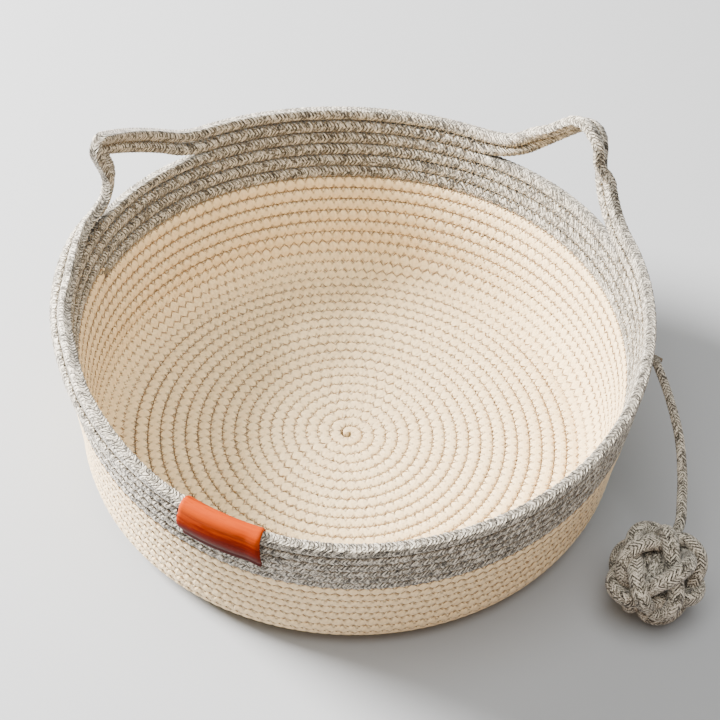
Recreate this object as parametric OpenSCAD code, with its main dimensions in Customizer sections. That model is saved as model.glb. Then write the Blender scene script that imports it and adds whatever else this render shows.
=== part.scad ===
// Coiled cotton-rope pet bed with two rope ears, a leather tab and a knotted toy on a cord.
// Millimetres, +Z up. Origin: centre of the underside. The front of the bed faces -Y, the ears are at the back.

/* [Rope] */
// Height that one sewn row of rope takes up
row_pitch = 8; // [6:0.5:10]
// Gap left between two rows of rope where different pieces meet
row_gap = 0.1; // [0.05:0.05:0.3]
// Thickness of the sewing thread
thread_d = 1.1; // [0.6:0.1:1.4]

/* [Bed] */
// Rows of rope in the flat base, the last one at its edge
base_rows = 19; // [14:1:24]
// Rows in the rounded turn from base to wall
heel_rows = 4; // [3:1:5]
// Cream rows in the upright wall
cream_rows = 6; // [3:1:10]
// Full rows of grey rope above the cream ones
band_rows = 4; // [2:1:6]
// Grey rows at the rim that also make the ears
rim_rows = 2; // [2:1:2]
// Radius of the turn from base to wall, at the middle of the rope
heel_r = 28; // [24:1:34]
// Outward lean of the wall, in degrees
wall_lean = 11; // [4:1:16]

/* [Ears] */
// Height of the left ear's tip above the rim
left_ear_h = 52; // [40:1:60]
// Height of the right ear's tip above the rim
right_ear_h = 63; // [40:1:70]

/* [Tab] */
// Length of the leather tab along the rim
tab_len = 54; // [40:1:70]
// Depth of each leg of the tab below the rim
tab_drop = 25; // [22:1:30]
// Thickness of the leather
tab_t = 1.8; // [1.2:0.1:2.5]

/* [Toy] */
// Outer diameter of the knotted ball
ball_d = 61; // [56:1:66]
// Diameter of the toy's cord
cord_d = 6.5; // [5:0.5:7]

/* [Hidden] */

cream = [0.87, 0.80, 0.69];
grey = [0.58, 0.56, 0.53];
thread_tan = [0.70, 0.58, 0.43];
leather = [0.78, 0.33, 0.12];

// Rope rows. Row n's middle lies (n - 0.5) pitches along the wall's profile from the centre of the base.
rope_d = row_pitch - row_gap;
rope_r = rope_d / 2;
flat_r = (base_rows - 0.5) * row_pitch;
heel_len = heel_r * (90 - wall_lean) * PI / 180;
heel_first = base_rows + 1;
wall_first = heel_first + heel_rows;
band_first = wall_first + cream_rows;
rim_first = band_first + band_rows;
rim_last = rim_first + rim_rows - 1;
web_t = 3;
// The base rests on its ropes, which press flat by this much
press = 0.3;
sit = rope_r - press;

// Profile of the rope's middle line: flat base, rounded heel, straight leaning wall
function profile(s) =
    s <= flat_r ? [s, sit]
    : s <= flat_r + heel_len
        ? let (a = (s - flat_r) / heel_r * 180 / PI)
            [flat_r + heel_r * sin(a), sit + heel_r * (1 - cos(a))]
    : let (up = s - flat_r - heel_len)
        [flat_r + heel_r * cos(wall_lean) + up * sin(wall_lean),
            sit + heel_r * (1 - sin(wall_lean)) + up * cos(wall_lean)];
function row_mid(n) = profile((n - 0.5) * row_pitch);
rim_mid = row_mid(rim_last);
rim_r = rim_mid[0];
rim_z = rim_mid[1];

// Ears. Each is the rim's two rows lifted into a triangle: compass angles of its back foot, tip and front
// foot in degrees, the tip's height, and the bend radii of the outer rope at those three corners.
left_ear_shape = [123, 149.5, 156, left_ear_h, 40, 12.5, 26];
right_ear_shape = [59, 41, 30, right_ear_h, 40, 12.5, 50];
mm_per_deg = rim_r * PI / 180;

// The ear's outline unrolled from the wall: x along the rim, y up the wall, drawn toward larger x
function ear_corners(e) =
    let (way = e[0] < e[2] ? 1 : -1)
    [[(e[0] * way) * mm_per_deg, 0], [e[1] * way * mm_per_deg, e[3]], [e[2] * way * mm_per_deg, 0]];
function heading(a, b) = atan2(b[1] - a[1], b[0] - a[0]);
function ear_turn(e, i) =
    let (c = ear_corners(e), pts = [[c[0][0] - 100, 0], c[0], c[1], c[2], [c[2][0] + 100, 0]])
    heading(pts[i + 1], pts[i + 2]) - heading(pts[i], pts[i + 1]);
// Where the ear's ropes leave the rim (end = 0) and come back to it (end = 2), in degrees
function ear_end(e, end) =
    let (way = e[0] < e[2] ? 1 : -1, reach = e[4 + end] * tan(abs(ear_turn(e, end)) / 2) / mm_per_deg)
    e[end] + (end == 0 ? -way : way) * reach;

// Points along a bend at corner i, for a rope that runs `inset` inside the outer one
function bend_points(e, i, inset, steps) =
    let (c = ear_corners(e), turn = ear_turn(e, i), left = turn > 0 ? 1 : -1,
        before = i == 0 ? 0 : heading(c[i - 1], c[i]),
        reach = e[4 + i] * tan(abs(turn) / 2),
        start = c[i] - reach * [cos(before), sin(before)],
        middle = start + left * e[4 + i] * [-sin(before), cos(before)],
        r = e[4 + i] + left * inset)
    [for (k = [0:steps]) let (a = before + turn * k / steps) middle + left * r * [sin(a), -cos(a)]];
function ear_path(e, inset) = concat(
    bend_points(e, 0, inset, 6), bend_points(e, 1, inset, 10), bend_points(e, 2, inset, 8));

// From the unrolled wall back to space
function on_wall(x, up, way) =
    let (a = way * x / mm_per_deg, r = rim_r + up * sin(wall_lean))
    [r * cos(a), r * sin(a), rim_z + up * cos(wall_lean)];
function outward(x, way) =
    let (a = way * x / mm_per_deg)
    [cos(a) * cos(wall_lean), sin(a) * cos(wall_lean), -sin(wall_lean)];

// Where the rim's rows stop for the ears, in degrees
left_end = ear_end(left_ear_shape, 2);
left_start = ear_end(left_ear_shape, 0);
right_end = ear_end(right_ear_shape, 2);
right_start = ear_end(right_ear_shape, 0);
end_gap = 0.03;
// The ear's outer rope presses into the inner one by this much, so the two are one piece
ear_press = 0.45;

// Sewing thread: it lies in the groove between two rows, on one side of the wall or the other
thread_depth = sqrt(pow(rope_r + thread_d / 2 + 0.03, 2) - pow(row_pitch / 2, 2));

// Leather tab over the front of the rim
tab_mid = 248;
tab_clear = 0.15;

// Toy: the tack that holds its cord, the ball, and the cord's route between them
tack_r = 4.5;
tack_at = [198, -7, 97];
ball_at = [194, -130, ball_d / 2 - 1.25];
cord_in = [0.39, 0.81, 0.44];
core_r = 15;
cord_route = [[199, -11, 91.5], [201, -22, 80], [204, -43, 65], [208, -65, 53], [210, -85, 48],
    [208, -100, 46.5], [203, -111.5, 41.5], [199.5, -118.5, 37]];
cord_steps = 2;
// The ball's weave: strands that circle it, and turns at each end
strand_d = 7.2;
leads = 4;
bights = 5;
weave_lat = 62;
weave_lift = 4.6;
weave_r = ball_d / 2 - strand_d / 2 - 0.65 * weave_lift;
weave_steps = 140;

function unit(v) = v / norm(v);

// A closed solid swept along points. Each ring is square to the path, and `refs` keeps it from twisting.
module tube(points, refs, r, sides, closed = false) {
    n = len(points);
    function at(i) = closed ? points[(i + n) % n] : points[max(0, min(n - 1, i))];
    function along(i) = unit(at(i + 1) - at(i - 1));
    rings = [for (i = [0:n - 1])
        let (t = along(i), b = unit(cross(t, refs[i])), m = cross(b, t))
        for (k = [0:sides - 1])
            let (a = 360 * k / sides) points[i] + r * (cos(a) * m + sin(a) * b)];
    spans = closed ? n : n - 1;
    walls = [for (i = [0:spans - 1]) for (k = [0:sides - 1])
        let (j = (i + 1) % n, l = (k + 1) % sides)
        [i * sides + k, j * sides + k, j * sides + l, i * sides + l]];
    caps = closed ? [] : [[for (k = [0:sides - 1]) k], [for (k = [sides - 1:-1:0]) (n - 1) * sides + k]];
    polyhedron(rings, concat(walls, caps), convexity = 8);
}

// Smooth curve through a list of points
function smooth(p, steps) = let (n = len(p)) [for (i = [0:n - 2]) for (k = [0:(i == n - 2 ? steps : steps - 1)])
    let (t = k / steps, a = p[max(0, i - 1)], b = p[i], c = p[i + 1], d = p[min(n - 1, i + 2)])
    0.5 * (2 * b + (c - a) * t + (2 * a - 5 * b + 4 * c - d) * t * t + (3 * b - 3 * c + d - a) * t * t * t)];

// Rows of rope as one solid: round rows joined by the webs that the thread pulls together
module rows_profile(first, last) {
    for (n = [first:last]) translate(row_mid(n)) circle(d = rope_d, $fn = 32);
    if (last > first) for (n = [first:last - 1]) web(row_mid(n), row_mid(n + 1));
}
module web(a, b) {
    side = web_t / 2 * [-(b - a)[1], (b - a)[0]] / norm(b - a);
    polygon([a + side, a - side, b - side, b + side]);
}
module rows(first, last) {
    rotate_extrude($fn = 180) rows_profile(first, last);
}
module rim_rows_between(from, to) {
    rotate([0, 0, from + end_gap])
        rotate_extrude(angle = to - from - 2 * end_gap, $fn = 180) rows_profile(rim_first, rim_last);
}

// Rings of thread in the grooves above rows first to last, on the inner and (if outer) the outer side
module thread_rings(first, last, outer) {
    for (n = [first:last]) {
        a = row_mid(n);
        b = row_mid(n + 1);
        inward = [-(b - a)[1], (b - a)[0]] / norm(b - a);
        for (side = outer ? [1, -1] : [1])
            rotate_extrude($fn = 180)
                translate((a + b) / 2 + side * thread_depth * inward) circle(d = thread_d, $fn = 6);
    }
}

module base_coil() {
    color(cream) rotate_extrude($fn = 180) {
        intersection() {
            rows_profile(1, base_rows);
            square([flat_r + row_pitch, rope_d]);
        }
        // The curled start of the rope closes the middle
        square([row_pitch / 2, sit + web_t / 2]);
    }
}

module heel_coil() {
    color(cream) rows(heel_first, wall_first - 1);
}

module wall_coil() {
    color(cream) rows(wall_first, band_first - 1);
}

// The cream rope's end overlaps the grey rope's start on the inside of the wall at the left
module rope_splice() {
    mid = row_mid(band_first) + (rope_r + 1.8) * [-cos(wall_lean), sin(wall_lean)];
    color(cream) rotate([0, 0, 153])
        rotate_extrude(angle = 9, $fn = 180) translate(mid) circle(d = 3.4, $fn = 24);
}

module grey_band() {
    color(grey) rows(band_first, rim_first - 1);
}

module rim_front() {
    color(grey) rim_rows_between(left_end, right_end + 360);
}

module rim_back() {
    color(grey) rim_rows_between(right_start, left_start);
}

module ear(e) {
    way = e[0] < e[2] ? 1 : -1;
    for (inset = [0, row_pitch]) {
        path = ear_path(e, inset);
        points = [for (q = path) on_wall(q[0], q[1], way)];
        refs = [for (q = path) outward(q[0], way)];
        tube(points, refs, inset == 0 ? rope_r + ear_press : rope_r + row_gap / 2, 12);
    }
}

module left_ear() {
    color(grey) ear(left_ear_shape);
}

module right_ear() {
    color(grey) ear(right_ear_shape);
}

module base_thread() {
    color(thread_tan) thread_rings(1, base_rows - 1, false);
}

module wall_thread() {
    color(thread_tan) thread_rings(base_rows, band_first - 2, true);
}

module band_thread() {
    color(thread_tan) thread_rings(band_first - 1, rim_first - 2, true);
}

module leather_tab() {
    inner = rope_r + tab_clear;
    outer = inner + tab_t;
    sweep = tab_len / mm_per_deg;
    color(leather) rotate([0, 0, tab_mid - sweep / 2]) rotate_extrude(angle = sweep, $fn = 180)
        translate(rim_mid) rotate(-wall_lean) difference() {
            union() {
                circle(r = outer, $fn = 48);
                translate([-outer, -tab_drop]) square([2 * outer, tab_drop]);
            }
            circle(r = inner, $fn = 48);
            translate([-inner, -tab_drop - 1]) square([2 * inner, tab_drop + 1]);
        }
}

module cord_tack() {
    color(thread_tan) translate(tack_at) sphere(r = tack_r, $fn = 48);
}

module toy_cord() {
    points = smooth(cord_route, cord_steps);
    color(grey) tube(points, [for (p = points) [1, 0, 0]], cord_d / 2, 10);
}

// Over and under: the strand rides high or low where it crosses the others
function weave_height(x) =
    let (side = x < 0 ? -1 : 1, y = abs(x), turn = 180 / leads)
    y < turn ? side * sin(leads * y / 2)
    : y > 180 - turn ? side * sin(leads * (180 - y) / 2) * (leads % 2 == 1 ? -1 : 1)
    : -side * cos(leads * y);
function weave_point(t) =
    let (phase = bights * t, x = (phase - 90) - 360 * floor((phase + 90) / 360), lat = weave_lat * sin(phase),
        r = weave_r + weave_lift * weave_height(x))
    r * [cos(lat) * cos(leads * t), cos(lat) * sin(leads * t), sin(lat)];

module ball_knot() {
    points = [for (i = [0:weave_steps - 1]) weave_point(360 * i / weave_steps)];
    color(grey) translate(ball_at)
        rotate([0, acos(cord_in[2]), atan2(cord_in[1], cord_in[0])])
            tube(points, points, strand_d / 2, 8, closed = true);
}

module ball_core() {
    color(cream) translate(ball_at) sphere(r = core_r, $fn = 64);
}

base_coil();
heel_coil();
wall_coil();
rope_splice();
grey_band();
rim_front();
rim_back();
left_ear();
right_ear();
base_thread();
wall_thread();
band_thread();
leather_tab();
cord_tack();
toy_cord();
ball_core();
ball_knot();
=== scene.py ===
import math

import bpy
import numpy as np
from mathutils import Matrix, Vector


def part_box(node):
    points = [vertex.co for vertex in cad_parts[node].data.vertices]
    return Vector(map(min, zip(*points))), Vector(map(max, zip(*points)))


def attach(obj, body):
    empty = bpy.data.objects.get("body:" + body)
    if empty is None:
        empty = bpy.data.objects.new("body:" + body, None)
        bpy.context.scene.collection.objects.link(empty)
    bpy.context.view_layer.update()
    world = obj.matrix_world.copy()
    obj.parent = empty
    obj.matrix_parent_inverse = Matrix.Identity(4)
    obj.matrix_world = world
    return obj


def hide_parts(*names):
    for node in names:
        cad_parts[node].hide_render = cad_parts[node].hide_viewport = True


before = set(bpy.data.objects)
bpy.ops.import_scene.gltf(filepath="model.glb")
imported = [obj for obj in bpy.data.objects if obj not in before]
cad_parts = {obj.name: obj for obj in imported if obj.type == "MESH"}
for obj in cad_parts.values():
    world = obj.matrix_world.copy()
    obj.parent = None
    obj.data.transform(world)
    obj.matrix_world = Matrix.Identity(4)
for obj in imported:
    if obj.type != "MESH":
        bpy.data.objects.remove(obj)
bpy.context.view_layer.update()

TAU = 2 * math.pi
MM = 0.001

# ---------------------------------------------------------------- sizes, from the frame
PITCH = 8 * MM
ROPE_D = PITCH - 0.1 * MM
ROPE_R = PITCH / 2
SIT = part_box("base_coil")[1][2] - ROPE_D / 2
FLAT_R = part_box("base_coil")[1][0] - ROPE_D / 2
RIM_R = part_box("rim_front")[1][0] - ROPE_D / 2
RIM_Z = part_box("rim_front")[1][2] - ROPE_D / 2
HEEL_R = 28 * MM
LEAN = math.radians(11)
HEEL_LEN = HEEL_R * (math.pi / 2 - LEAN)
RIM_S = 34.5 * PITCH

# The coil: it winds clockwise outward and ends under the tab
TAB_AZ = math.radians(248)
TURNS = 35.0
T_END = TURNS * TAU
T_START = 0.12 * TAU
BASE_TURNS = 19
HEEL_TURNS = 23
SPLICE_AZ = math.radians(157.5)
SPLICE_LEFT = 5  # whole turns still to come at the splice

# Zigzag stitch
STITCH = 7 * MM
REACH = 2.2 * MM
THREAD_R = 0.34 * MM

# Ears: compass angles of back foot, tip and front foot, tip height, bend radii at those corners
LEFT_EAR = (126.5, 152, 148, 48 * MM, 48 * MM, 7 * MM, 11.5 * MM)
RIGHT_EAR = (60.5, 38.5, 33.5, 77 * MM, 49 * MM, 21 * MM, 47 * MM)
ARC = RIM_R * math.pi / 180
# The rim's two ropes by compass angle: tilt of the upper one from straight above (minus leans it into the
# bed), how far apart they are in rows, and how far in mm the lower one bulges out of the wall
PAIR_TILT = ((21, 0), (33, 0), (37, -50), (42, -70), (50, -65), (58, -30), (66, 0), (128, 0), (148, -34),
             (157, -50), (172, -60), (190, -38), (208, -22), (235, 0))
PAIR_SPREAD = ((150, 1), (162, 1.2), (172, 1.15), (188, 1))
LOWER_OUT = ((146, 0), (162, 4.5), (180, 4.5), (205, 2.5), (232, 0))

# Leather tab: length along the rim, drop inside and outside the rim, thickness
TAB_LEN = 54 * MM
TAB_IN = 27 * MM
TAB_OUT = 23.5 * MM
TAB_THICK = 1.8 * MM

# Toy: the cord's route hangs beside the CAD's, in metres
CORD_ROUTE = [(0.1948, -0.0093, 0.0955), (0.2035, -0.022, 0.080), (0.2108, -0.043, 0.065),
              (0.2132, -0.065, 0.053), (0.2124, -0.085, 0.048), (0.2108, -0.100, 0.0465),
              (0.2055, -0.112, 0.043), (0.201, -0.119, 0.0385)]
CORD_D = 6.5 * MM
TACK_AT = (0.1936, -0.0078, 0.0965)
TACK_R = 3.0 * MM
BALL_D = 65 * MM
BALL_SHIFT = (0.0022, 0.0, 0.0028)
# The direction from the ball's centre in which its weave is turned, towards the cord
CORD_IN = Vector((0.39, 0.81, 0.44)).normalized()


# ---------------------------------------------------------------- camera, lights and floor
def make_camera():
    """Long lens, tilted down 47 degrees with a slight roll, as the bed is seen."""
    distance, elevation, roll = 1.80, math.radians(47.3), math.radians(2.6)
    centre = Vector((0, 0, 0.004))
    back = Vector((0, -math.cos(elevation), math.sin(elevation)))
    right = Vector((math.cos(roll), 0, 0)) + math.sin(roll) * back.cross(Vector((1, 0, 0)))
    up = back.cross(right)
    data = bpy.data.cameras.new("camera")
    data.sensor_width = 36
    data.lens = 135
    data.clip_end = 20
    # The bed's centre sits a little left of the picture's centre and below it
    aim = -back + 0.0041 * right + 0.0283 * up
    cam = bpy.data.objects.new("camera", data)
    z = (-aim).normalized()
    x = up.cross(z).normalized()
    y = z.cross(x)
    turn = Matrix((x, y, z)).transposed().to_4x4()
    cam.matrix_world = Matrix.Translation(centre + back * distance) @ turn
    bpy.context.scene.collection.objects.link(cam)
    bpy.context.scene.camera = cam
    return cam


def add_light(name, at, target, size, power, colour):
    data = bpy.data.lights.new(name, "AREA")
    data.shape = "DISK"
    data.size = size
    data.energy = power
    data.color = colour
    lamp = bpy.data.objects.new(name, data)
    lamp.location = at
    lamp.rotation_mode = "QUATERNION"
    lamp.rotation_quaternion = (Vector(target) - Vector(at)).to_track_quat("-Z", "Y")
    bpy.context.scene.collection.objects.link(lamp)


def make_studio():
    add_light("key", (-1.75, 0.62, 1.22), (0.03, -0.02, 0.03), 0.9, 450, (1.0, 0.93, 0.86))
    add_light("fill", (0.3, -2.1, 0.5), (0, 0, 0.05), 1.2, 10, (1.0, 0.55, 0.28))
    add_light("top", (0.2, -0.45, 2.25), (0, 0, 0), 2.2, 62, (1.0, 0.96, 0.90))
    world = bpy.data.worlds.new("studio")
    world.use_nodes = True
    world.node_tree.nodes["Background"].inputs["Color"].default_value = (1.0, 0.93, 0.85, 1)
    world.node_tree.nodes["Background"].inputs["Strength"].default_value = 0.40
    bpy.context.scene.world = world
    data = bpy.data.meshes.new("floor")
    half = 6.0
    data.from_pydata([(-half, -half, -0.0002), (half, -half, -0.0002), (half, half, -0.0002),
                      (-half, half, -0.0002)], [], [(0, 1, 2, 3)])
    floor = bpy.data.objects.new("floor", data)
    bpy.context.scene.collection.objects.link(floor)
    mat = bpy.data.materials.new("floor")
    mat.use_nodes = True
    bsdf = mat.node_tree.nodes["Principled BSDF"]
    bsdf.inputs["Base Color"].default_value = (0.315, 0.34, 0.37, 1)
    bsdf.inputs["Roughness"].default_value = 0.9
    data.materials.append(mat)


# ---------------------------------------------------------------- the bed's shape
def around(az, mean, *waves):
    """A length that varies smoothly round the bed: its mean, then the cosine and sine of one wave, two..."""
    total = mean + 0 * az
    for k, (a, b) in enumerate(waves, 1):
        total = total + a * np.cos(k * az) + b * np.sin(k * az)
    return total * MM


def bed_point(az, s):
    """The rope's middle line at a compass angle and a distance along the wall's profile from the centre."""
    a = np.clip((s - FLAT_R) / HEEL_R, 0, math.pi / 2 - LEAN)
    up = np.maximum(s - FLAT_R - HEEL_LEN, 0)
    r = np.minimum(s, FLAT_R) + HEEL_R * np.sin(a) + up * math.sin(LEAN)
    z = SIT + HEEL_R * (1 - np.cos(a)) + up * math.cos(LEAN)
    # The soft wall isn't round: it leans back, dips at front and back and stands high at the sides
    lift = np.clip((z - SIT) / (RIM_Z - SIT), 0, 1)
    climb = np.clip((s - FLAT_R) / (RIM_S - FLAT_R), 0, 1)
    q = np.clip(s / FLAT_R, 0, 1)
    r = r + lift * around(az, 0, (0, 6.2), (-4.7, -2.2), (-0.2, 0.4), (-1.1, -0.6))
    r = r + 4 * lift * (1 - lift) * around(az, -2.2, (1.2, 2.0), (0, 1.2))
    r = r + q * (1 - lift) * around(az, 0.4, (-0.5, -2.4)) + 4 * q * (1 - q) * around(az, -1.7, (0.2, 0.8))
    r = r - 1.2 * MM * np.sin(TAU * climb)
    z = z + lift * around(az, 5.7, (-0.6, 1.6), (7.4, -0.9)) - 11.6 * MM * climb * (1 - climb)
    return np.stack([r * np.cos(az), r * np.sin(az), z], -1)


def on_bed(az, s, out=0.0, tilt=0.0):
    """Points of the rope's middle line, `out` beyond the wall, and the direction its inner side faces."""
    tiny = 0.2 * MM
    uphill = bed_point(az, s + tiny) - bed_point(az, s - tiny)
    turning = bed_point(az + 0.001, s) - bed_point(az - 0.001, s)
    inward = np.cross(uphill, turning)
    inward *= np.sign(inward[..., 2:]) / np.linalg.norm(inward, axis=-1, keepdims=True)
    uphill /= np.linalg.norm(uphill, axis=-1, keepdims=True)
    lean = np.asarray(tilt)[..., None]
    facing = np.cos(lean) * inward + np.sin(lean) * uphill
    return bed_point(az, s) - np.asarray(out)[..., None] * inward, facing


def heading(a, b):
    return math.atan2(b[1] - a[1], b[0] - a[0])


def ear_line(ear, inset, steps=24):
    """The ear's rope unrolled from the wall: compass angles and heights above the rim row."""
    way = 1 if ear[0] < ear[2] else -1
    corners = [(ear[0] * way * ARC, 0), (ear[1] * way * ARC, ear[3]), (ear[2] * way * ARC, 0)]
    ends = [(corners[0][0] - 1, 0)] + corners + [(corners[2][0] + 1, 0)]
    points = []
    for i, corner in enumerate(corners):
        before = heading(ends[i], ends[i + 1])
        turn = heading(ends[i + 1], ends[i + 2]) - before
        side = 1 if turn > 0 else -1
        radius = ear[4 + i]
        back = radius * math.tan(abs(turn) / 2)
        mx = corner[0] - back * math.cos(before) - side * radius * math.sin(before)
        my = corner[1] - back * math.sin(before) + side * radius * math.cos(before)
        for k in range(steps + 1):
            a = before + turn * k / steps
            r = radius + side * inset
            points.append((mx + side * r * math.sin(a), my - side * r * math.cos(a)))
    line = np.array(points)
    line[:, 0] *= way / ARC
    if way > 0:
        line = line[::-1]
    return line


def measure_ear(ear):
    """The ear's outer and inner rope lines, how far along each point is, and where they leave the rim."""
    middle = ear_line(ear, PITCH / 2)
    step = np.hypot(np.diff(middle[:, 0]) * ARC, np.diff(middle[:, 1]))
    along = np.concatenate([[0], np.cumsum(step)])
    return ear_line(ear, 0), ear_line(ear, PITCH), along / along[-1], middle[0, 0], middle[-1, 0]


EARS = [measure_ear(ear) for ear in (LEFT_EAR, RIGHT_EAR)]


def ease(x, knots):
    """Smooth steps between (place, value) knots, flat beyond the ends."""
    x = np.asarray(x, float)
    places, values = zip(*knots)
    i = np.clip(np.searchsorted(places, x) - 1, 0, len(places) - 2)
    low, high = np.array(places)[i], np.array(places)[i + 1]
    f = np.clip((x - low) / (high - low), 0, 1)
    f = f * f * (3 - 2 * f)
    return np.array(values)[i] * (1 - f) + np.array(values)[i + 1] * f


def end_step(turned, s, last_end):
    """The coil ends one row above its start of the turn: rows shift to hide that step under the tab."""
    off = (turned - math.degrees(TAB_AZ) + 180) % 360 - 180
    fade = ease(np.abs(off), ((8, 1), (55, 0)))
    step = -np.clip(off / 8, -1, 1)
    step = np.where(last_end & (off >= 0) & (off < 8), -1, step)
    return (PITCH / 2 * step - 0.7 * MM) * fade * np.clip((s / PITCH - 29) / 4, 0, 1)


def lane(t, up=0.0):
    """Where the coil runs at winding angle t, `up` further out than its middle: compass angle, profile
    distance, distance beyond the wall and tilt."""
    t = np.asarray(t, float)
    left = (T_END - t) / TAU
    az = TAB_AZ + left * TAU
    rim = np.floor(left + 1e-9)
    turned = np.degrees(TAB_AZ) + 360 * (left - rim) - 360 * (left - rim > (360 - math.degrees(TAB_AZ)) / 360)
    tilt = np.radians(ease(turned, PAIR_TILT)) * (rim <= 1)
    spread = ease(turned, PAIR_SPREAD)
    beyond = ease(turned, LOWER_OUT) * MM * (rim <= 1)
    # The two rim ropes as one pair: how far up and out this point is from the lower rope's middle
    reach = np.where(rim == 0, PITCH * spread + up, up)
    rise = np.where(rim <= 1, reach * np.cos(tilt), up)
    out = np.where(rim <= 1, beyond + reach * np.sin(tilt), 0)
    s = PITCH * np.where(rim == 0, t - TAU, t) / TAU + rise
    s = s + end_step(turned, s, (rim == 0) & (left < 0.5))
    for outer, inner, along, first, last in EARS:
        here = (rim <= 1) & (turned < first) & (turned > last)
        if not here.any():
            continue
        part = (first - turned[here]) / (first - last)
        share = 1 - rise[here] / PITCH
        line = []
        for k in (0, 1):
            upper = np.interp(part, along, outer[:, k])
            lower = np.interp(part, along, inner[:, k])
            line.append(upper * (1 - share) + lower * share)
        az[here] = np.radians(line[0])
        s[here] = PITCH * (T_END - (left[here] - rim[here]) * TAU) / TAU + line[1]
    return az, s, out, tilt


def ear_span(ear_index, row):
    """Winding angles at which the rim's row (0 the top one) enters and leaves an ear."""
    first, last = EARS[ear_index][3:]
    before = [T_END - row * TAU - (math.radians(a) - TAB_AZ) % TAU for a in (first, last)]
    return before[0], before[1]


def winding_grid():
    """Winding angles close enough together everywhere, closer still in the ears."""
    turns = np.arange(T_START, T_END, 0.002)
    r = np.maximum(PITCH * turns / TAU, 4 * MM)
    count = np.cumsum(r * 0.002 / (0.4 * MM))
    pieces = [np.interp(np.arange(0, count[-1]), count, turns)]
    for index in (0, 1):
        for row in (0, 1, 2):
            pieces.append(np.linspace(*ear_span(index, row), 1500))
    t = np.unique(np.concatenate(pieces + [[T_START, T_END]]))
    return t[(t >= T_START) & (t <= T_END)]


def lengths(points):
    return np.concatenate([[0], np.cumsum(np.linalg.norm(np.diff(points, axis=0), axis=1))])


GRID = winding_grid()
ROPE_LEN = lengths(on_bed(*lane(GRID))[0])
SEAM_LEN = lengths(on_bed(*lane(GRID, PITCH / 2))[0])


def seam_phase(t):
    """Stitches sewn by winding angle t along the seam outside it."""
    return np.interp(t, GRID, SEAM_LEN) / STITCH


def frames(points, facing):
    """Side and facing direction, both square to the line, at each of its points."""
    along = np.gradient(points, axis=0)
    along /= np.linalg.norm(along, axis=1)[:, None]
    side = np.cross(facing, along)
    side /= np.linalg.norm(side, axis=1)[:, None]
    return side, np.cross(along, side)


# ---------------------------------------------------------------- mesh helpers
def make_tube(name, rings, lengthwise, closed=False, maps=()):
    """A tube from rings of points (n, m, 3). Its UV map "rope" holds metres along it and turns round it;
    maps adds more maps as (name, values (n, m, 2))."""
    n, m = rings.shape[:2]
    spans = n if closed else n - 1
    i = np.arange(spans)[:, None]
    k = np.arange(m)[None, :]
    j, l = (i + 1) % n, (k + 1) % m
    quads = np.stack(np.broadcast_arrays(i * m + k, i * m + l, j * m + l, j * m + k), -1).reshape(-1, 4)
    loops = quads.ravel()
    starts = np.arange(0, loops.size, 4)
    step = lengthwise[1] - lengthwise[0]
    ends = np.append(lengthwise, lengthwise[-1] + step)
    low, high = ends[i], ends[i + 1]
    u = np.stack(np.broadcast_arrays(low + 0 * k, low + 0 * k, high + 0 * k, high + 0 * k), -1)
    v = np.stack(np.broadcast_arrays(k + 0 * i, k + 1 + 0 * i, k + 1 + 0 * i, k + 0 * i), -1) / m
    uv = np.stack([u.reshape(-1), v.reshape(-1)], -1)
    if not closed:
        caps = np.concatenate([np.arange(m)[::-1], (n - 1) * m + np.arange(m)])
        loops = np.concatenate([loops, caps])
        starts = np.concatenate([starts, [quads.size, quads.size + m]])
        cap_uv = np.zeros((2 * m, 2))
        cap_uv[:m, 0] = lengthwise[0]
        cap_uv[m:, 0] = lengthwise[-1]
        uv = np.concatenate([uv, cap_uv])
    mesh = bpy.data.meshes.new(name)
    mesh.vertices.add(n * m)
    mesh.vertices.foreach_set("co", rings.reshape(-1).astype(np.float32))
    mesh.loops.add(loops.size)
    mesh.loops.foreach_set("vertex_index", loops.astype(np.int32))
    mesh.polygons.add(starts.size)
    mesh.polygons.foreach_set("loop_start", starts.astype(np.int32))
    mesh.update(calc_edges=True)
    mesh.polygons.foreach_set("use_smooth", np.ones(starts.size, bool))
    if not closed:
        mesh.polygons.foreach_set("use_smooth", np.arange(starts.size) < starts.size - 2)
    layer = mesh.uv_layers.new(name="rope")
    layer.data.foreach_set("uv", uv.reshape(-1).astype(np.float32))
    for map_name, values in maps:
        layer = mesh.uv_layers.new(name=map_name)
        layer.data.foreach_set("uv", values.reshape(-1, 2)[loops].reshape(-1).astype(np.float32))
    obj = bpy.data.objects.new(name, mesh)
    bpy.context.scene.collection.objects.link(obj)
    return obj


def join(name, objs):
    """Makes one piece of several."""
    with bpy.context.temp_override(active_object=objs[0], selected_editable_objects=objs):
        bpy.ops.object.join()
    objs[0].name = name
    objs[0].data.name = name
    return objs[0]


# ---------------------------------------------------------------- rope and thread of the bed
ROPE_SIDES = 24
ROPE_STEP = 0.9 * MM
NO_SEAM = -5.0


def dent(phase, across, needle, sign):
    """How deep the thread and its needle hole press into the rope at a distance across the seam."""
    part = phase - np.floor(phase)
    swing = 1 - 4 * np.abs(part - 0.5)
    near = np.minimum(np.abs(part - needle), 1 - np.abs(part - needle)) * STITCH
    hole = 0.45 * MM * np.exp(-(near ** 2 + (across - REACH) ** 2) / (1.35 * MM) ** 2)
    pull = np.exp(-((across - sign * swing * REACH) * 0.62 / (0.62 * MM)) ** 2)
    groove = 0.42 * MM * pull * np.clip(1.3 - across / REACH, 0, 1)
    return hole + groove


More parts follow.
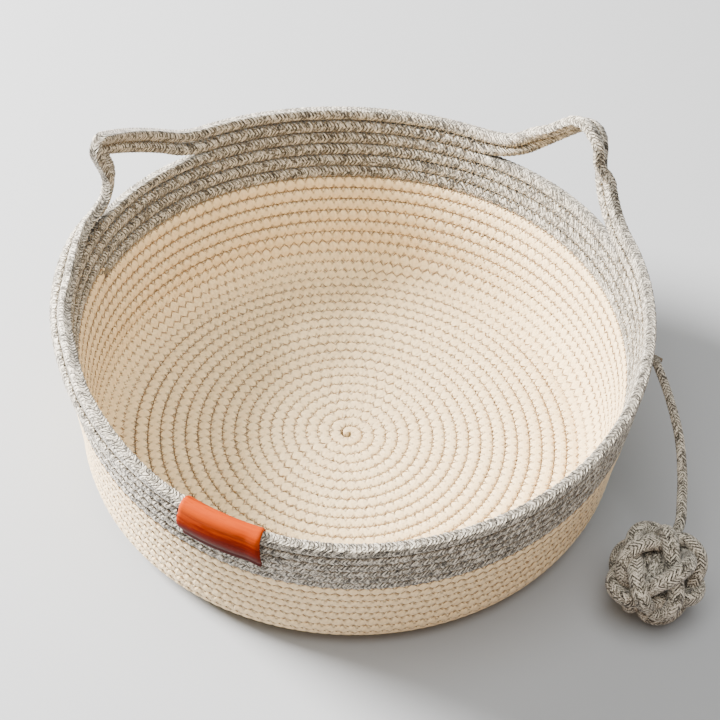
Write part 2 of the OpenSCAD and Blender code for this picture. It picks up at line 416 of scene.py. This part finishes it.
def neighbours(t):
    """Whether the coil has a row sewn on outside it and inside it at winding angles t."""
    left = (T_END - t) / TAU
    row = np.floor(left + 1e-9)
    turned = np.degrees(TAB_AZ) + 360 * (left - row)
    turned = turned - 360 * (turned > 360)
    open_gap = np.zeros(t.shape, bool)
    for ear in EARS:
        open_gap |= (turned < ear[3]) & (turned > ear[4])
    return (row >= 1) & ~(open_gap & (row == 2)), (t > T_START + TAU) & ~(open_gap & (row == 1))


def rope_rings(t):
    """Rings of the sewn rope at winding angles t, squeezed flat against its neighbours and dented by the
    stitches on both sides of each seam, and the two extra UV maps: stitches and place in the section."""
    middle, facing = on_bed(*lane(t))
    side, face = frames(middle, facing)
    side = -side
    a = TAU * np.arange(ROPE_SIDES) / ROPE_SIDES
    has_out, has_in = neighbours(t)
    wide_out = np.where(has_out, 1.38, 1.0)[:, None]
    wide_in = np.where(has_in, 1.38, 1.0)[:, None]
    cos, sin = np.cos(a)[None, :], np.sin(a)[None, :]
    wide = np.where(cos > 0, wide_out, wide_in)
    x = ROPE_R * np.clip(wide * np.sign(cos) * np.abs(cos) ** 0.76, -0.998, 0.998)
    y = 0.985 * ROPE_R * np.sign(sin) * np.abs(sin) ** 0.76 * np.ones_like(x)
    out_phase = np.where(has_out, seam_phase(t), NO_SEAM)[:, None]
    in_phase = np.where(has_in, seam_phase(t - TAU), NO_SEAM)[:, None]
    deep = has_out[:, None] * dent(out_phase, ROPE_R - x, 0.0, -1)
    deep = deep + has_in[:, None] * dent(in_phase, ROPE_R + x, 0.5, 1)
    tail = np.clip((T_END - t) * RIM_R / (22 * MM), 0, 1)
    head = np.clip((t - T_START) / 0.4, 0, 1)
    scale = (1 - deep / ROPE_R) * (0.25 + 0.75 * np.sqrt(tail * head))[:, None]
    x, y = x * scale, y * scale
    # The first turn closes the middle of the floor
    x = np.maximum(x, -(PITCH * t / TAU)[:, None])
    points = middle[:, None, :] + x[..., None] * side[:, None, :] + y[..., None] * face[:, None, :]
    points[..., 2] = np.maximum(points[..., 2], 0)
    seams = np.stack(np.broadcast_arrays(out_phase + 0 * x, in_phase + 0 * x), -1)
    return points, [("seams", seams), ("section", np.stack([x, y], -1) / MM)]


def rope_between(name, t_from, t_to):
    first, last = np.interp([t_from, t_to], GRID, ROPE_LEN)
    count = max(4, int(round((last - first) / ROPE_STEP)) + 1)
    run = np.linspace(first, last, count)
    t = np.interp(run, ROPE_LEN, GRID)
    rings, maps = rope_rings(t)
    return make_tube(name, rings, run, maps=maps)


def thread_between(name, t_from, t_to, face_side):
    """Zigzag thread over the seam outside the coil, on the facing side (1) or the far side (-1)."""
    low, high = seam_phase(np.array([t_from, t_to]))
    steps = np.arange(math.ceil(low * 8), math.floor(high * 8))
    phase = steps / 8
    t = np.interp(phase * STITCH, SEAM_LEN, GRID)
    swing = 1 - 4 * np.abs(phase - np.floor(phase) - 0.5)
    height = np.array([2.95, 3.3, 3.25, 3.3])[steps % 4] * MM
    across = swing * REACH
    middle, facing = on_bed(*lane_across(t, across))
    points = middle + face_side * height[:, None] * facing
    side, face = frames(points, facing)
    a = TAU * np.arange(5) / 5
    ring = np.cos(a)[None, :, None] * side[:, None, :] + np.sin(a)[None, :, None] * face[:, None, :]
    return make_tube(name, points[:, None, :] + THREAD_R * ring, lengths(points))


def lane_across(t, across):
    """lane() for points at their own distances across the seam outside t."""
    middle = lane(t, PITCH / 2)
    beside = lane(t, PITCH / 2 + 0.5 * MM)
    share = across / (0.5 * MM)
    return [m + (b - m) * share for m, b in zip(middle, beside)]


# ---------------------------------------------------------------- materials
class Nodes:
    """Short-hand for a material's node tree."""

    def __init__(self, name):
        self.mat = bpy.data.materials.new(name)
        self.mat.use_nodes = True
        self.tree = self.mat.node_tree
        self.bsdf = self.tree.nodes["Principled BSDF"]

    def link(self, value, socket):
        if isinstance(value, bpy.types.NodeSocket):
            self.tree.links.new(value, socket)
        else:
            socket.default_value = value

    def add(self, kind, **settings):
        node = self.tree.nodes.new(kind)
        for key, value in settings.items():
            setattr(node, key, value)
        return node

    def math(self, operation, a, b=0.0, c=0.0):
        node = self.add("ShaderNodeMath", operation=operation)
        for value, socket in zip((a, b, c), node.inputs):
            self.link(value, socket)
        return node.outputs[0]

    def noise(self, vector, scale, detail=2.0, roughness=0.5):
        node = self.add("ShaderNodeTexNoise")
        self.link(vector, node.inputs["Vector"])
        node.inputs["Scale"].default_value = scale
        node.inputs["Detail"].default_value = detail
        node.inputs["Roughness"].default_value = roughness
        return node.outputs["Fac"]

    def combine(self, x, y, z=0.0):
        node = self.add("ShaderNodeCombineXYZ")
        for value, socket in zip((x, y, z), node.inputs):
            self.link(value, socket)
        return node.outputs[0]

    def ramp(self, value, stops, interpolation="LINEAR"):
        node = self.add("ShaderNodeValToRGB")
        node.color_ramp.interpolation = interpolation
        ramp = node.color_ramp.elements
        while len(ramp) < len(stops):
            ramp.new(0.5)
        for element, (at, colour) in zip(ramp, stops):
            element.position = at
            element.color = (*colour, 1)
        self.link(value, node.inputs["Fac"])
        return node.outputs["Color"]

    def mix(self, share, a, b, blend="MIX"):
        node = self.add("ShaderNodeMix", data_type="RGBA", blend_type=blend)
        self.link(share, node.inputs["Factor"])
        self.link(a if isinstance(a, bpy.types.NodeSocket) else (*a, 1), node.inputs["A"])
        self.link(b if isinstance(b, bpy.types.NodeSocket) else (*b, 1), node.inputs["B"])
        return node.outputs["Result"]

    def bump(self, height, distance, strength=1.0, below=None):
        node = self.add("ShaderNodeBump")
        node.inputs["Distance"].default_value = distance
        node.inputs["Strength"].default_value = strength
        self.link(height, node.inputs["Height"])
        if below is not None:
            self.link(below, node.inputs["Normal"])
        return node.outputs["Normal"]


def braid(nodes, columns, plait, slant):
    """Herringbone braid from the rope's own UV map: which yarn and ply, where across it and its height."""
    uv = nodes.add("ShaderNodeUVMap", uv_map="rope")
    split = nodes.add("ShaderNodeSeparateXYZ")
    nodes.link(uv.outputs["UV"], split.inputs[0])
    around = nodes.math("MULTIPLY", split.outputs["Y"], columns)
    column = nodes.math("FLOOR", around)
    across = nodes.math("FRACT", around)
    way = nodes.math("MULTIPLY_ADD", nodes.math("PINGPONG", column, 1.0), 2.0, -1.0)
    lean = nodes.math("MULTIPLY", nodes.math("SUBTRACT", across, 0.5), way)
    run = nodes.math("MULTIPLY_ADD", split.outputs["X"], 1.0 / plait, nodes.math("MULTIPLY", lean, slant))
    yarn = nodes.math("FLOOR", run)
    inside = nodes.math("FRACT", run)
    ply = nodes.math("FLOOR", nodes.math("MULTIPLY", inside, 2.0))
    arch = nodes.math("SINE", nodes.math("MULTIPLY", inside, math.pi))
    crest = nodes.math("SINE", nodes.math("MULTIPLY", across, math.pi))
    height = nodes.math("MULTIPLY", nodes.math("POWER", arch, 0.6), nodes.math("POWER", crest, 0.35))
    dice = nodes.add("ShaderNodeTexWhiteNoise", noise_dimensions="3D")
    nodes.link(nodes.combine(yarn, column, ply), dice.inputs["Vector"])
    fibres = nodes.combine(nodes.math("MULTIPLY", run, 3.6),
                           nodes.math("MULTIPLY", split.outputs["Y"], 4.6 * columns),
                           nodes.math("MULTIPLY", column, 7.3))
    return {"u": split.outputs["X"], "v": split.outputs["Y"], "ply": ply, "height": height,
            "dice": dice.outputs["Value"], "fibre": nodes.noise(fibres, 1.0, 2.0, 0.55)}


def stitch_trench(n):
    """How much the zigzag thread pulls the rope in at each point, 0 to 1, and its needle holes."""
    seams = n.add("ShaderNodeSeparateXYZ")
    n.link(n.add("ShaderNodeUVMap", uv_map="seams").outputs["UV"], seams.inputs[0])
    section = n.add("ShaderNodeSeparateXYZ")
    n.link(n.add("ShaderNodeUVMap", uv_map="section").outputs["UV"], section.inputs[0])
    radius, reach = ROPE_R / MM, REACH / MM
    pulls, holes = [], []
    for phase, edge, sign, needle in ((seams.outputs["X"], -1.0, -1.0, 0.0),
                                      (seams.outputs["Y"], 1.0, 1.0, 0.5)):
        sewn = n.math("GREATER_THAN", phase, -1.0)
        across = n.math("MULTIPLY_ADD", section.outputs["X"], edge, radius)
        part = n.math("FRACT", phase)
        swing = n.math("MULTIPLY_ADD", n.math("ABSOLUTE", n.math("SUBTRACT", part, 0.5)), -4.0, 1.0)
        off = n.math("MULTIPLY", n.math("MULTIPLY_ADD", swing, -sign * reach, across), 0.62)
        pull = n.math("EXPONENT", n.math("MULTIPLY", n.math("MULTIPLY", off, off), -1 / 0.42 ** 2))
        pulls.append(n.math("MULTIPLY", pull, sewn))
        near = n.math("MULTIPLY", n.math("PINGPONG", n.math("SUBTRACT", part, needle), 0.5), STITCH / MM)
        side = n.math("SUBTRACT", across, reach)
        square = n.math("ADD", n.math("MULTIPLY", near, near), n.math("MULTIPLY", side, side))
        holes.append(n.math("MULTIPLY", n.math("EXPONENT", n.math("MULTIPLY", square, -1 / 0.75 ** 2)), sewn))
    return n.math("MAXIMUM", *pulls), n.math("MAXIMUM", *holes)


def finish_rope(n, colour, b, sewn, trench_shade):
    """Paints shade into the thread's trenches and needle holes, roughens the braid and connects the shader.
    """
    height = n.math("MULTIPLY", b["height"], 0.35)
    if sewn:
        pull, hole = stitch_trench(n)
        depth = n.math("MAXIMUM", n.math("MULTIPLY", pull, 0.75), hole)
        # Painted shade: the colour is mixed towards the given dark colour where the thread's trench and
        # needle holes sink in.
        colour = n.mix(n.math("MULTIPLY", depth, 0.58), colour, trench_shade)
        height = n.math("MULTIPLY_ADD", depth, -1.0, height)
    n.link(colour, n.bsdf.inputs["Base Color"])
    n.bsdf.inputs["Roughness"].default_value = 0.88
    n.bsdf.inputs["Sheen Weight"].default_value = 0.22
    n.bsdf.inputs["Sheen Roughness"].default_value = 0.5
    n.bsdf.inputs["Specular IOR Level"].default_value = 0.25
    coarse = n.bump(height, 0.9 * MM, 0.8)
    n.link(n.bump(b["fibre"], 0.14 * MM, 0.6, coarse), n.bsdf.inputs["Normal"])
    return n.mat


def cream_rope():
    n = Nodes("cream_rope")
    b = braid(n, 4, 2.7 * MM, 1.4)
    tone = n.noise(n.combine(n.math("MULTIPLY", b["u"], 40.0), b["v"]), 1.0, 3.0)
    body = n.mix(tone, (0.74, 0.52, 0.26), (0.85, 0.66, 0.365))
    yarn = n.mix(n.math("MULTIPLY", b["dice"], 0.45), body, (0.91, 0.77, 0.49))
    lit = n.mix(n.math("MULTIPLY", b["fibre"], 0.4), yarn, (0.94, 0.82, 0.56))
    # Painted shade: the cream is mixed towards dark brown where the braid is low, in the grooves between the
    # yarns.
    colour = n.mix(n.math("MULTIPLY", n.math("SUBTRACT", 1.0, b["height"]), 0.3), lit, (0.48, 0.35, 0.19))
    # The last colour is the painted shade in the stitch trenches and needle holes.
    return finish_rope(n, colour, b, True, (0.20, 0.12, 0.055))


def grey_rope(name="grey_rope", columns=4, plait=2.5 * MM, slant=2.2, sewn=True):
    n = Nodes(name)
    b = braid(n, columns, plait, slant)
    broad = n.noise(n.combine(n.math("MULTIPLY", b["u"], 60.0), n.math("MULTIPLY", b["v"], 2.0)), 1.0, 2.0)
    value = n.math("MULTIPLY_ADD", b["dice"], 0.20, b["fibre"])
    value = n.math("MULTIPLY_ADD", b["ply"], -0.10, value)
    value = n.math("MULTIPLY_ADD", broad, 0.06, value)
    colour = n.ramp(value, [(0.46, (0.014, 0.014, 0.013)), (0.535, (0.075, 0.072, 0.060)),
                            (0.60, (0.24, 0.225, 0.185)), (0.68, (0.68, 0.65, 0.56))])
    shade = n.mix(n.math("MULTIPLY", n.math("SUBTRACT", 1.0, b["height"]), 0.35), colour, (0.12, 0.11, 0.09))
    # The last colour is the painted shade in the stitch trenches and needle holes.
    return finish_rope(n, shade, b, sewn, (0.12, 0.10, 0.075))


def thread_material(name="sewing_thread", dark=(0.21, 0.13, 0.065), light=(0.36, 0.24, 0.13)):
    n = Nodes(name)
    uv = n.add("ShaderNodeUVMap", uv_map="rope")
    split = n.add("ShaderNodeSeparateXYZ")
    n.link(uv.outputs["UV"], split.inputs[0])
    turn = n.math("MULTIPLY_ADD", split.outputs["X"], 1.0 / (0.8 * MM), split.outputs["Y"])
    ply = n.math("SINE", n.math("MULTIPLY", turn, TAU))
    tone = n.noise(n.combine(n.math("MULTIPLY", split.outputs["X"], 60.0), 0.0, 0.0), 1.0)
    n.link(n.mix(tone, dark, light), n.bsdf.inputs["Base Color"])
    n.bsdf.inputs["Roughness"].default_value = 0.7
    n.link(n.bump(ply, 0.08 * MM, 0.5), n.bsdf.inputs["Normal"])
    return n.mat


def leather_material():
    n = Nodes("tab_leather")
    geometry = n.add("ShaderNodeTexCoord")
    place = geometry.outputs["Object"]
    cloud = n.noise(place, 38.0, 4.0, 0.6)
    grain = n.add("ShaderNodeTexVoronoi", feature="F1")
    n.link(place, grain.inputs["Vector"])
    grain.inputs["Scale"].default_value = 1500.0
    height = n.add("ShaderNodeSeparateXYZ")
    n.link(place, height.inputs[0])
    # Painted highlight and shade: the colour runs from dark red-brown low on the tab to bright orange near
    # the top of its fold, where the light falls, with cloud and streak noise mixed in.
    level = n.math("MULTIPLY_ADD", height.outputs["Z"], 1 / (36 * MM), -(RIM_Z - 26 * MM) / (36 * MM))
    uv = n.add("ShaderNodeSeparateXYZ")
    n.link(n.add("ShaderNodeUVMap", uv_map="rope").outputs["UV"], uv.inputs[0])
    lengthwise = n.math("MULTIPLY", uv.outputs["X"], 45.0)
    crosswise = n.math("MULTIPLY", uv.outputs["Y"], 55.0)
    streak = n.noise(n.combine(lengthwise, crosswise), 1.0, 3.0, 0.6)
    level = n.math("MULTIPLY_ADD", n.math("SUBTRACT", cloud, 0.5), 0.30, level)
    level = n.math("MULTIPLY_ADD", n.math("SUBTRACT", streak, 0.5), 0.55, level)
    tan = n.ramp(level, [(0.15, (0.045, 0.002, 0.0)), (0.48, (0.13, 0.006, 0.0)), (0.70, (0.32, 0.036, 0.0)),
                         (0.86, (0.38, 0.048, 0.0)), (1.0, (0.14, 0.011, 0.0))])
    n.link(tan, n.bsdf.inputs["Base Color"])
    n.link(n.math("MULTIPLY_ADD", cloud, 0.2, 0.36), n.bsdf.inputs["Roughness"])
    n.bsdf.inputs["Specular IOR Level"].default_value = 0.03
    fine = n.bump(grain.outputs["Distance"], 0.05 * MM, 0.35)
    n.link(n.bump(cloud, 0.3 * MM, 0.3, fine), n.bsdf.inputs["Normal"])
    return n.mat


# ---------------------------------------------------------------- toy
def smooth_line(points, count):
    """Evenly spaced points on one smooth curve through the given ones."""
    p = np.array(points)
    p = np.concatenate([[2 * p[0] - p[1]], p, [2 * p[-1] - p[-2]]])
    out = []
    for i in range(1, len(p) - 2):
        a, b, c, d = p[i - 1:i + 3]
        for k in range(40):
            t = k / 40
            out.append(0.5 * (2 * b + (c - a) * t + (2 * a - 5 * b + 4 * c - d) * t * t
                              + (3 * b - 3 * c + d - a) * t ** 3))
    out.append(p[-2])
    out = np.array(out)
    run = lengths(out)
    even = np.linspace(0, run[-1], count)
    return np.stack([np.interp(even, run, out[:, k]) for k in range(3)], -1)


def plain_tube(name, points, facing, radius, sides, closed=False, flat=1.0):
    """A tube along a line; flat squashes it along the facing direction."""
    if closed:
        n = len(points)
        wide = np.concatenate([points[-2:], points, points[:2]])
        fwide = np.concatenate([facing[-2:], facing, facing[:2]])
        side, face = (x[2:n + 2] for x in frames(wide, fwide))
    else:
        side, face = frames(points, facing)
    a = TAU * np.arange(sides) / sides
    ring = np.cos(a)[None, :, None] * -side[:, None, :] + flat * np.sin(a)[None, :, None] * face[:, None, :]
    radius = np.broadcast_to(np.asarray(radius, float), (len(points),))
    return make_tube(name, points[:, None, :] + radius[:, None, None] * ring, lengths(points), closed)


def make_cord(material):
    """The toy's cord: thinner at the tack, thicker at the knot."""
    points = smooth_line(CORD_ROUTE, 150)
    facing = np.tile([1.0, 0.0, 0.0], (len(points), 1))
    run = lengths(points)
    share = run / run[-1]
    radius = CORD_D / 2 * (0.84 + 0.28 * share) + 0.12 * MM * np.sin(TAU * run / (3.2 * MM))
    cord = plain_tube("toy_cord_braid", points, facing, radius, 16)
    cord.data.materials.append(material)
    return cord, points


def round_off(share, radius, least):
    """Radius of a ball at a share of the way through it, never quite nothing at its ends."""
    return radius * np.sqrt(np.clip(1 - (2 * share - 1) ** 2, least, 1))


def wound(name, start, end, radius, turns, thread_r, steps=14):
    """Thread wound round the line from start to end; radius is a function of the share along it."""
    start, end = np.array(start), np.array(end)
    axis = (end - start) / np.linalg.norm(end - start)
    first = np.cross(axis, [0.3, 0.5, 0.81])
    first /= np.linalg.norm(first)
    second = np.cross(axis, first)
    share = np.linspace(0, 1, int(turns * steps) + 1)
    a = TAU * turns * share
    out = np.cos(a)[:, None] * first + np.sin(a)[:, None] * second
    points = start + share[:, None] * (end - start) + radius(share)[:, None] * out
    return plain_tube(name, points, out, thread_r, 6)


def make_tack():
    """The cord's upper end lashed into a small knot, and the stitches that hold the knot to the wall."""
    centre = np.array(TACK_AT)
    parts = []
    for k, axis in enumerate(([0.1, 0.2, 1.0], [0.3, 1.0, -0.2], [-0.5, 0.6, 0.7])):
        axis = np.array(axis) / np.linalg.norm(axis)
        reach = TACK_R - 0.4 * MM * (2 - k)
        parts.append(wound("tack_winding", centre - reach * axis, centre + reach * axis,
                           lambda f, r=reach: round_off(f, r, 0.01), 7, 0.62 * MM))
    share = np.linspace(-0.94, 0.94, 13)
    core = centre + TACK_R * 0.9 * share[:, None] * np.array([0.0, 0.0, 1.0])
    facing = np.tile([1.0, 0.0, 0.0], (13, 1))
    parts.append(plain_tube("tack_core", core, facing, TACK_R * 0.9 * np.sqrt(1 - share ** 2), 14))
    hinge = np.array([(a + b) / 2 for a, b in zip(*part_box("cord_tack"))])
    link = smooth_line([centre, (centre + hinge) / 2, hinge], 8)
    parts.append(plain_tube("tack_link", link, np.tile([0.0, 0.0, 1.0], (8, 1)), 0.8 * MM, 8))
    knot = join("tack_knot", parts)
    stitches = []
    for az, rise in ((-1.0, 2.0), (-3.4, 1.1), (-1.6, -1.3), (-3.0, -2.2)):
        az = math.radians(az)
        wall, inward = on_bed(np.array([az]), np.array([31.5 * PITCH]), np.array([ROPE_R]))
        root = wall[0] + 2.0 * MM * inward[0]
        root[2] = centre[2] + 1.6 * rise * MM
        tip = hinge + np.array([0.2 * MM, 0.0, rise * 0.3 * MM])
        middle = (root + tip) / 2 + np.array([0.0, 0.0, 0.5 * rise * MM])
        line = smooth_line([root, middle, tip], 12)
        stitches.append(plain_tube("tack_stitch", line, np.tile([0.0, 0.0, 1.0], (12, 1)), 0.55 * MM, 6))
    return knot, join("tack_stitches", stitches)


def make_splice(dark, pale):
    """Where grey rope takes over from cream: a whipping of thread and the grey rope's frayed end."""
    t = winding_at(SPLICE_AZ, SPLICE_LEFT)
    run = np.interp(t, GRID, ROPE_LEN)
    rounds, steps = 9, 20
    share = np.linspace(0, 1, rounds * steps + 1)
    here = np.interp(run + (share - 0.5) * 6.0 * MM, ROPE_LEN, GRID)
    middle, facing = on_bed(*lane(here))
    side, face = frames(middle, facing)
    a = TAU * rounds * share[:, None]
    out = np.cos(a) * side + np.sin(a) * face
    reach = np.minimum(4.15 * MM, 3.95 * MM / np.maximum(np.abs(np.cos(a)), 0.6))
    whipping = plain_tube("splice_whipping", middle + reach * out, out, 0.42 * MM, 6)
    ends = []
    for k in range(18):
        angle = math.radians(32 + 116 * ((k * 7) % 18) / 17)
        length = (4.5 + 4.0 * ((k * 5) % 7) / 6) * MM
        share = np.linspace(0, 1, 9)
        here = np.interp(run - share * length + 1.5 * MM, ROPE_LEN, GRID)
        middle, facing = on_bed(*lane(here))
        side, face = frames(middle, facing)
        spread = angle + share[:, None] * math.radians(((k * 11) % 9 - 4) * 7)
        out = np.cos(spread) * side + np.sin(spread) * face
        lift = (4.0 + 0.9 * share[:, None] * ((k * 3) % 4) / 3) * MM
        ends.append(plain_tube("splice_fibre", middle + lift * out, out, (0.32 - 0.16 * share) * MM, 5))
    fray = join("splice_fray", ends)
    whipping.data.materials.append(pale)
    fray.data.materials.append(dark)
    return whipping, fray


def make_tab(material):
    """Leather folded over the rim: a thick sheet with eased edges, its right end standing a little proud."""
    across, down = 41, 19
    half = TAB_LEN / 2 / RIM_R
    share = np.concatenate([[0, 0.006, 0.02], np.linspace(0.05, 0.95, across - 6), [0.98, 0.994, 1]])
    ease_end = np.sqrt(np.clip(np.minimum(share, 1 - share) / 0.02, 0.04, 1))
    leg = np.linspace(0, 1, down)
    fold = np.linspace(0, math.pi, 17)[1:-1]
    mid = ROPE_R + 0.15 * MM + TAB_THICK / 2
    drop_out = TAB_OUT - 1.5 * MM * ease(share, ((0.3, 0), (1, 1)))
    rings = []
    for f, e, drop in zip(share, ease_end, drop_out):
        proud = 1.5 * MM * ease(f, ((0.80, 0), (1.0, 1)))
        curl = 0.2 * MM * ease(f, ((0.86, 0), (1.0, 1)))
        up = np.concatenate([-TAB_IN * (1 - leg), mid * np.sin(fold), -drop * leg])
        out = np.concatenate([0 * leg - mid, -mid * np.cos(fold), 0 * leg + mid])
        low = np.concatenate([0 * leg, 0 * fold, leg])
        outer_side = np.concatenate([0 * leg, (1 - np.cos(fold)) / 2, 0 * leg + 1])
        bulge = 2.8 * MM * np.sin(np.minimum(1.25 * low, 1) * math.pi)
        out = out + outer_side * proud + curl * low ** 3 + bulge
        # The sheet's two faces, drawn together at its four edges
        slope = np.stack([np.gradient(up), np.gradient(out)], -1)
        slope /= np.linalg.norm(slope, axis=1)[:, None]
        normal = np.stack([-slope[:, 1], slope[:, 0]], -1)
        rank = np.arange(len(up))
        edge = np.sqrt(np.clip(np.minimum(rank, rank[::-1]), 0.25, 1))
        half_t = (TAB_THICK / 2 * e * edge)[:, None] * normal
        line = np.stack([up, out], -1)
        loop = np.concatenate([line + half_t, (line - half_t)[::-1]])
        bow = (1.2 * MM * (4 * low * (1 - low)) * (1 - 2 * f) ** 3) / RIM_R
        turn = -half + 2 * half * f
        az = TAB_AZ - 2.4 * MM / RIM_R + turn - np.concatenate([bow, bow[::-1]])
        points, _ = on_bed(az, RIM_S - 0.3 * MM + loop[:, 0], loop[:, 1])
        rings.append(points)
    rings = np.array(rings)
    tab = make_tube("leather_tab_fold", rings, share * TAB_LEN)
    tab.data.materials.append(material)
    return tab


def weave_height(x, leads):
    """How far over (1) or under (-1) the rope runs at an angle from the middle of its swing."""
    side = np.where(x < 0, -1, 1)
    y = np.abs(x)
    turn = 180 / leads
    ends = -1 if leads % 2 else 1
    return np.where(y < turn, side * np.sin(np.radians(leads * y / 2)),
                    np.where(y > 180 - turn, side * ends * np.sin(np.radians(leads * (180 - y) / 2)),
                             -side * np.cos(np.radians(leads * y))))


def make_ball(material):
    """One rope woven over and under itself round the core, pulled tight and a little lumpy."""
    leads, bights, lat_max = 4, 5, 70
    strand_r, lift = 5.5 * MM, 3.7 * MM
    radius = BALL_D / 2 - strand_r - 0.5 * lift
    t = np.arange(1100) * 360 / 1100
    phase = bights * t
    x = (phase - 90) - 360 * np.floor((phase + 90) / 360)
    lat = np.radians(lat_max * np.sin(np.radians(phase)) + 2.5 * np.sin(np.radians(7 * t)))
    r = radius + lift * weave_height(x, leads) + 0.9 * MM * np.sin(np.radians(3 * t + 40))
    lon = np.radians(leads * t + 2.5 * np.sin(np.radians(9 * t)))
    level = r * np.cos(lat)
    local = np.stack([level * np.cos(lon), level * np.sin(lon), 0.97 * r * np.sin(lat)], -1)
    polar, azimuth = math.acos(CORD_IN.z), math.atan2(CORD_IN.y, CORD_IN.x)
    turn = np.array(Matrix.Rotation(azimuth, 3, "Z") @ Matrix.Rotation(polar, 3, "Y"))
    local = local @ turn.T
    ball = plain_tube("ball_knot_rope", local + ball_centre(), local, strand_r, 20, closed=True, flat=0.86)
    ball.data.materials.append(material)
    return ball


def ball_centre():
    low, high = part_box("ball_core")
    return np.array([(a + b) / 2 + c for a, b, c in zip(low, high, BALL_SHIFT)])


def make_core(material):
    """The rope's tucked end inside the knot, wound into a ball."""
    axis = np.array([0.9, -0.43, 0.0])
    core_r = 13.5 * MM
    half = 11.5 * MM * axis
    parts = [wound("core_winding", ball_centre() - half, ball_centre() + half,
                   lambda f: round_off(f, core_r, 0.03), 4, 4.2 * MM, 40)]
    share = np.linspace(-0.97, 0.97, 25)
    line = ball_centre() + core_r * share[:, None] * axis
    facing = np.tile([0.0, 0.0, 1.0], (25, 1))
    parts.append(plain_tube("core_middle", line, facing, core_r * np.sqrt(1 - share ** 2), 24))
    core = join("ball_core_winding", parts)
    core.data.materials.clear()
    core.data.materials.append(material)
    return core


# ---------------------------------------------------------------- build
def sew(piece, node, material):
    """Gives a piece of the bed its material and puts it in its CAD node's place."""
    piece.data.materials.clear()
    piece.data.materials.append(MATERIALS[material])
    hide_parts(node)
    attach(piece, "bed")


def winding_at(az, turns_before_end):
    """Winding angle at compass angle az, with that many whole turns still to come."""
    left = (az - TAB_AZ) % TAU
    return T_END - left - turns_before_end * TAU


def sew_run(name, node, material, t_from, t_to, parts):
    """One length of rope, meshed in a few parts."""
    cuts = np.interp(np.linspace(*np.interp([t_from, t_to], GRID, ROPE_LEN), parts + 1), ROPE_LEN, GRID)
    for k in range(parts):
        sew(rope_between(name + "_%d" % (k + 1), cuts[k], cuts[k + 1]), node, material)


make_camera()
make_studio()

MATERIALS = {"cream": cream_rope(),
             "grey": grey_rope(),
             "leather": leather_material(),
             "thread": thread_material(),
             "band_thread": thread_material("band_thread", (0.11, 0.09, 0.06), (0.23, 0.19, 0.13)),
             "splice": thread_material("splice_thread", (0.035, 0.03, 0.03), (0.12, 0.10, 0.09)),
             "cord": grey_rope("cord_rope", 4, 2.2 * MM, 2.0, False),
             "knot": grey_rope("knot_rope", 8, 2.2 * MM, 1.6, False)}

cord, cord_points = make_cord(MATERIALS["cord"])
ball = make_ball(MATERIALS["knot"])
core = make_core(MATERIALS["knot"])
tack, tack_stitches = make_tack()
for piece, look in ((tack, "cord"), (tack_stitches, "band_thread")):
    piece.data.materials.clear()
    piece.data.materials.append(MATERIALS[look])
for piece, node, body in ((cord, "toy_cord", "toy"), (ball, "ball_knot", "toy"), (core, "ball_core", "toy"),
                          (tack, "cord_tack", "tack")):
    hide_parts(node)
    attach(piece, body)
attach(tack_stitches, "bed")

splice = winding_at(SPLICE_AZ, SPLICE_LEFT)
left_in = [ear_span(0, row) for row in (0, 1)]
right_in = [ear_span(1, row) for row in (0, 1)]
rim_start = T_END - 2 * TAU

sew_run("base_rope", "base_coil", "cream", T_START, BASE_TURNS * TAU, 3)
sew_run("heel_rope", "heel_coil", "cream", BASE_TURNS * TAU, HEEL_TURNS * TAU, 2)
sew_run("wall_rope", "wall_coil", "cream", HEEL_TURNS * TAU, splice, 2)
sew_run("band_rope", "grey_band", "grey", splice, rim_start, 2)
for row, start, stop in ((1, rim_start, rim_start + TAU), (0, rim_start + TAU, T_END)):
    l0, l1 = left_in[row]
    r0, r1 = right_in[row]
    tag = "upper" if row == 0 else "lower"
    sew(rope_between("rim_right_front_" + tag, r1, stop), "rim_front", "grey")
    sew(rope_between("rim_left_front_" + tag, start, l0), "rim_front", "grey")
    sew(rope_between("left_ear_" + tag, l0, l1), "left_ear", "grey")
    sew(rope_between("rim_back_" + tag, l1, r0), "rim_back", "grey")
    sew(rope_between("right_ear_" + tag, r0, r1), "right_ear", "grey")

below_left, below_right = ear_span(0, 2), ear_span(1, 2)
for tag, way in (("inside", 1), ("outside", -1)):
    for name, node, material, t_from, t_to in (
            ("base_stitch", "base_thread", "thread", T_START + 0.2, BASE_TURNS * TAU),
            ("wall_stitch", "wall_thread", "thread", BASE_TURNS * TAU, splice - TAU),
            ("splice_stitch", "wall_thread", "thread", splice - TAU, splice),
            ("band_stitch_left", "band_thread", "band_thread", splice, below_left[0]),
            ("band_stitch_back", "band_thread", "band_thread", below_left[1], below_right[0]),
            ("rim_stitch", "band_thread", "band_thread", below_right[1], T_END - TAU)):
        sew(thread_between(name + "_" + tag, t_from, t_to, way), node, material)

whipping, fray = make_splice(MATERIALS["splice"], MATERIALS["band_thread"])
for piece in (whipping, fray):
    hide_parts("rope_splice")
    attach(piece, "bed")
sew(make_tab(MATERIALS["leather"]), "leather_tab", "leather")
